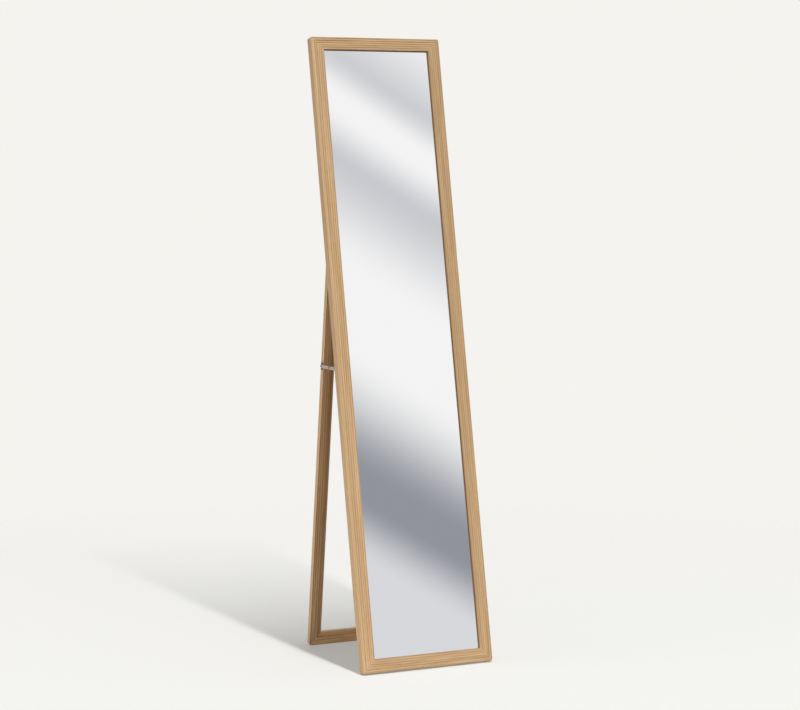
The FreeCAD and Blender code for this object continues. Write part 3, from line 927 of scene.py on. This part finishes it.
@dataclass
class Studio:
    """A pale floor that keeps the shadow, soft lamps, even room light and a reflection screen.

    Attributes:
        floor_reach: Half the floor's side, in metres.
        floor_fade: The distances between which the floor blends into the background, in metres.
        floor_paper: The floor's colour under the object.
        floor_rim: Its colour where the fade ends, lighter because less light falls there.
        floor_glow: The share of the background that the floor shows whatever light falls on it.
        room_light: The strength of the even light from all round.
        room_tint: Its colour.
        strip: The slanted row of lamps overhead, which casts the shadow.
        fills: The soft lamps on the left, in front and behind.
        screen_radius: The radius of the reflection screen, in metres.
        screen_segments: The number of facets round it.
        screen_heading: The direction of the screen's middle, right of straight ahead, in degrees.
        screen_foot: The height below which the screen blends into the background, in metres.
        screen_white: The screen between its bands.
        band_slope: How much the bands fall to the right.
        band_repeat: The range after which the bands run back, in metres.
        flags: The bands.
    """

    floor_reach: float = 7.0
    floor_fade: tuple[float, float] = (1.4, 2.8)
    floor_paper: str = "#EFF0EE"
    floor_rim: str = "#FAF9F6"
    floor_glow: float = 0.2
    room_light: float = 0.34
    room_tint: str = "#F6FBFF"
    strip: LampRow = LampRow(
        "strip_lamp",
        first=(0.0, -2.5, 3.8),
        last=(0.0, 0.15, 8.1),
        count=10,
        aim=(0.0, 0.4, 0.3),
        size=(0.12, 0.36),
        power=6.25,
        tint="#FFFCF9",
    )
    fills: tuple[SoftLamp, ...] = (
        SoftLamp(
            "left_fill",
            place=(-5.0, 0.2, 1.2),
            aim=(0.0, 0.2, 1.2),
            size=(2.5, 2.5),
            power=2.45,
            tint="#FFF4E8",
        ),
        SoftLamp(
            "front_fill",
            place=(0.9, -5.5, 1.0),
            aim=(0.0, 0.0, 0.8),
            size=(2.0, 2.0),
            power=2.2,
            tint="#FFFFFF",
        ),
        SoftLamp(
            "back_fill",
            place=(1.2, 5.5, 1.0),
            aim=(0.0, 0.0, 0.8),
            size=(2.5, 2.5),
            power=1.2,
            tint="#FFFFFF",
        ),
    )
    screen_radius: float = 9.0
    screen_segments: int = 64
    screen_heading: float = 25.4
    screen_foot: float = 0.9
    screen_white: str = "#F7F7F7"
    band_slope: float = 0.84
    band_repeat: tuple[float, float] = (0.9, 5.9)
    flags: tuple[ReflectionFlag, ...] = (
        ReflectionFlag("#DADBDF", fade_in=(-1.0, -0.5), fade_out=(1.46, 2.63)),
        ReflectionFlag("#93969E", fade_in=(1.54, 2.0), fade_out=(2.16, 3.0)),
        ReflectionFlag("#CBCCD1", fade_in=(3.49, 4.21), fade_out=(4.16, 4.49)),
        ReflectionFlag("#C5C6CB", fade_in=(4.56, 4.84), fade_out=(4.6, 5.41)),
    )

    def shown_rays(self, tree: bpy.types.NodeTree) -> bpy.types.NodeSocket:
        """Tells the rays that show the background, directly or in gloss and glass, from those that light.

        Args:
            tree: The floor's or the world's nodes.

        Returns:
            One for a ray that shows the background, and zero for the rest.
        """
        path = add_node(tree, "ShaderNodeLightPath")
        seen = path.outputs["Is Camera Ray"]
        for ray in ("Is Glossy Ray", "Is Transmission Ray"):
            seen = add_node(
                tree, "ShaderNodeMath", {"operation": "MAXIMUM"}, {0: seen, 1: path.outputs[ray]}
            ).outputs[0]
        return seen

    def build_floor(self) -> None:
        """Lays the floor, which blends into the background away from the object."""
        shape = bmesh.new()
        bmesh.ops.create_grid(shape, x_segments=1, y_segments=1, size=self.floor_reach)
        mesh = bpy.data.meshes.new("studio_floor")
        shape.to_mesh(mesh)
        shape.free()
        floor = bpy.data.objects.new("studio_floor", mesh)
        bpy.context.scene.collection.objects.link(floor)

        material, tree, shader = new_surface("studio_paper_matt")
        where = add_node(tree, "ShaderNodeTexCoord")
        reach = add_node(
            tree, "ShaderNodeVectorMath", {"operation": "LENGTH"}, {0: where.outputs["Object"]}
        )
        fade = add_node(
            tree,
            "ShaderNodeMapRange",
            {"interpolation_type": "SMOOTHSTEP"},
            {
                "Value": reach.outputs["Value"],
                "From Min": self.floor_fade[0],
                "From Max": self.floor_fade[1],
            },
        )
        share = add_node(
            tree, "ShaderNodeMath", {"operation": "MULTIPLY"}, {0: self.shown_rays(tree), 1: self.floor_glow}
        )
        glow = add_node(tree, "ShaderNodeEmission", links={"Color": linear(PALE_STUDIO), "Strength": 1.0})
        lit = add_node(
            tree,
            "ShaderNodeMixShader",
            links={0: share.outputs[0], 1: shader.outputs["BSDF"], 2: glow.outputs["Emission"]},
        )
        clear = add_node(tree, "ShaderNodeBsdfTransparent")
        blend = add_node(
            tree,
            "ShaderNodeMixShader",
            links={0: fade.outputs["Result"], 1: lit.outputs["Shader"], 2: clear.outputs["BSDF"]},
        )
        tree.links.new(blend.outputs["Shader"], tree.nodes["Material Output"].inputs["Surface"])
        outwards = add_node(
            tree,
            "ShaderNodeMapRange",
            {"interpolation_type": "SMOOTHSTEP"},
            {"Value": reach.outputs["Value"], "From Max": self.floor_fade[1]},
        )
        paper = add_node(
            tree,
            "ShaderNodeMix",
            {"data_type": "RGBA"},
            {
                MIX_FACTOR: outwards.outputs["Result"],
                MIX_FIRST: linear(self.floor_paper),
                MIX_SECOND: linear(self.floor_rim),
            },
        )
        tree.links.new(paper.outputs[MIX_RESULT], shader.inputs["Base Color"])
        shader.inputs["Roughness"].default_value = 1.0
        shader.inputs["Specular IOR Level"].default_value = 0.0
        mesh.materials.append(material)

    def build_screen(self) -> None:
        """Hangs the screen whose grey bands only reflections show."""
        shape = bmesh.new()
        bmesh.ops.create_uvsphere(
            shape,
            u_segments=self.screen_segments,
            v_segments=self.screen_segments // 2,
            radius=self.screen_radius,
        )
        # Keep the quarter in front of the object and above the floor
        for normal in ((0.0, 1.0, 0.0), (0.0, 0.0, -1.0)):
            bmesh.ops.bisect_plane(
                shape,
                geom=shape.verts[:] + shape.edges[:] + shape.faces[:],
                plane_co=(0.0, 0.0, 0.0),
                plane_no=normal,
                clear_outer=True,
            )
        mesh = bpy.data.meshes.new("studio_screen")
        shape.to_mesh(mesh)
        shape.free()
        screen = bpy.data.objects.new("studio_screen", mesh)
        bpy.context.scene.collection.objects.link(screen)
        screen.visible_camera = False
        screen.visible_diffuse = False
        screen.visible_transmission = False
        screen.visible_volume_scatter = False
        screen.visible_shadow = False

        material = bpy.data.materials.new("studio_screen_lit")
        material.use_nodes = True
        tree = material.node_tree
        tree.nodes.remove(tree.nodes["Principled BSDF"])
        heading = math.radians(self.screen_heading)
        slant = (self.band_slope * math.cos(heading), self.band_slope * math.sin(heading), 1.0)
        where = add_node(tree, "ShaderNodeTexCoord")
        level = add_node(
            tree, "ShaderNodeVectorMath", {"operation": "DOT_PRODUCT"}, {0: where.outputs["Object"], 1: slant}
        )
        first, last = self.band_repeat
        lowered = add_node(
            tree, "ShaderNodeMath", {"operation": "SUBTRACT"}, {0: level.outputs["Value"], 1: first}
        )
        folded = add_node(
            tree, "ShaderNodeMath", {"operation": "PINGPONG"}, {0: lowered.outputs[0], 1: last - first}
        )
        band = add_node(tree, "ShaderNodeMath", {"operation": "ADD"}, {0: folded.outputs[0], 1: first})
        colour = linear(self.screen_white)
        for flag in self.flags:
            edges = []
            for (start, end), low, high in ((flag.fade_in, 0.0, 1.0), (flag.fade_out, 1.0, 0.0)):
                edge = add_node(
                    tree,
                    "ShaderNodeMapRange",
                    {"interpolation_type": "SMOOTHSTEP"},
                    {
                        "Value": band.outputs[0],
                        "From Min": start,
                        "From Max": end,
                        "To Min": low,
                        "To Max": high,
                    },
                )
                edges.append(edge.outputs["Result"])
            share = add_node(tree, "ShaderNodeMath", {"operation": "MULTIPLY"}, {0: edges[0], 1: edges[1]})
            colour = add_node(
                tree,
                "ShaderNodeMix",
                {"data_type": "RGBA"},
                {MIX_FACTOR: share.outputs[0], MIX_FIRST: colour, MIX_SECOND: linear(flag.tone)},
            ).outputs[MIX_RESULT]
        height = add_node(tree, "ShaderNodeSeparateXYZ", links={"Vector": where.outputs["Object"]})
        foot = add_node(
            tree,
            "ShaderNodeMapRange",
            {"interpolation_type": "SMOOTHSTEP"},
            {"Value": height.outputs["Z"], "From Max": self.screen_foot},
        )
        colour = add_node(
            tree,
            "ShaderNodeMix",
            {"data_type": "RGBA"},
            {MIX_FACTOR: foot.outputs["Result"], MIX_FIRST: linear(PALE_STUDIO), MIX_SECOND: colour},
        ).outputs[MIX_RESULT]
        glow = add_node(tree, "ShaderNodeEmission", links={"Color": colour})
        tree.links.new(glow.outputs["Emission"], tree.nodes["Material Output"].inputs["Surface"])
        mesh.materials.append(material)

    def build_world(self) -> None:
        """Lights the room evenly, and shows the pale background to the camera and in reflections."""
        world = bpy.data.worlds.new("studio_room")
        bpy.context.scene.world = world
        world.use_nodes = True
        tree = world.node_tree
        room = tree.nodes["Background"]
        room.inputs["Color"].default_value = linear(self.room_tint)
        room.inputs["Strength"].default_value = self.room_light
        backdrop = add_node(
            tree, "ShaderNodeBackground", links={"Color": linear(PALE_STUDIO), "Strength": 1.0}
        )
        shown = add_node(
            tree,
            "ShaderNodeMixShader",
            links={
                0: self.shown_rays(tree),
                1: room.outputs["Background"],
                2: backdrop.outputs["Background"],
            },
        )
        tree.links.new(shown.outputs["Shader"], tree.nodes["World Output"].inputs["Surface"])

    def build(self) -> None:
        """Sets the whole studio up."""
        self.build_floor()
        self.build_screen()
        for lamp in (self.strip, *self.fills):
            lamp.build()
        self.build_world()
        bpy.context.scene.view_settings.view_transform = "Standard"


@dataclass
class Viewpoint:
    """The camera, at the photograph's viewing angle.

    Attributes:
        place: Where it stands, in metres.
        heading: How far it looks right of straight ahead, in degrees.
        dip: How far it looks down, in degrees.
        lens: The focal length, in millimetres.
        sensor: The width of the sensor, in millimetres.
    """

    place: tuple[float, float, float] = (-2.3376, -4.9627, 1.2500)
    heading: float = 25.336
    dip: float = 5.256
    lens: float = 100.8
    sensor: float = 36.0

    def set_up(self) -> None:
        """Makes the camera and looks through it."""
        camera = bpy.data.cameras.new("viewpoint")
        camera.lens = self.lens
        camera.sensor_width = self.sensor
        holder = bpy.data.objects.new("viewpoint", camera)
        bpy.context.scene.collection.objects.link(holder)
        holder.location = self.place
        holder.rotation_euler = (math.radians(90.0 - self.dip), 0.0, math.radians(-self.heading))
        bpy.context.scene.camera = holder


def main() -> None:
    """Dresses the object piece by piece and sets the studio up."""
    logging.basicConfig(level=logging.INFO, format="%(message)s")
    MirrorFrame().dress()
    RearLeg().dress()
    Ironmongery().dress()
    Studio().build()
    Viewpoint().set_up()


if __name__ == "__main__":
    main()
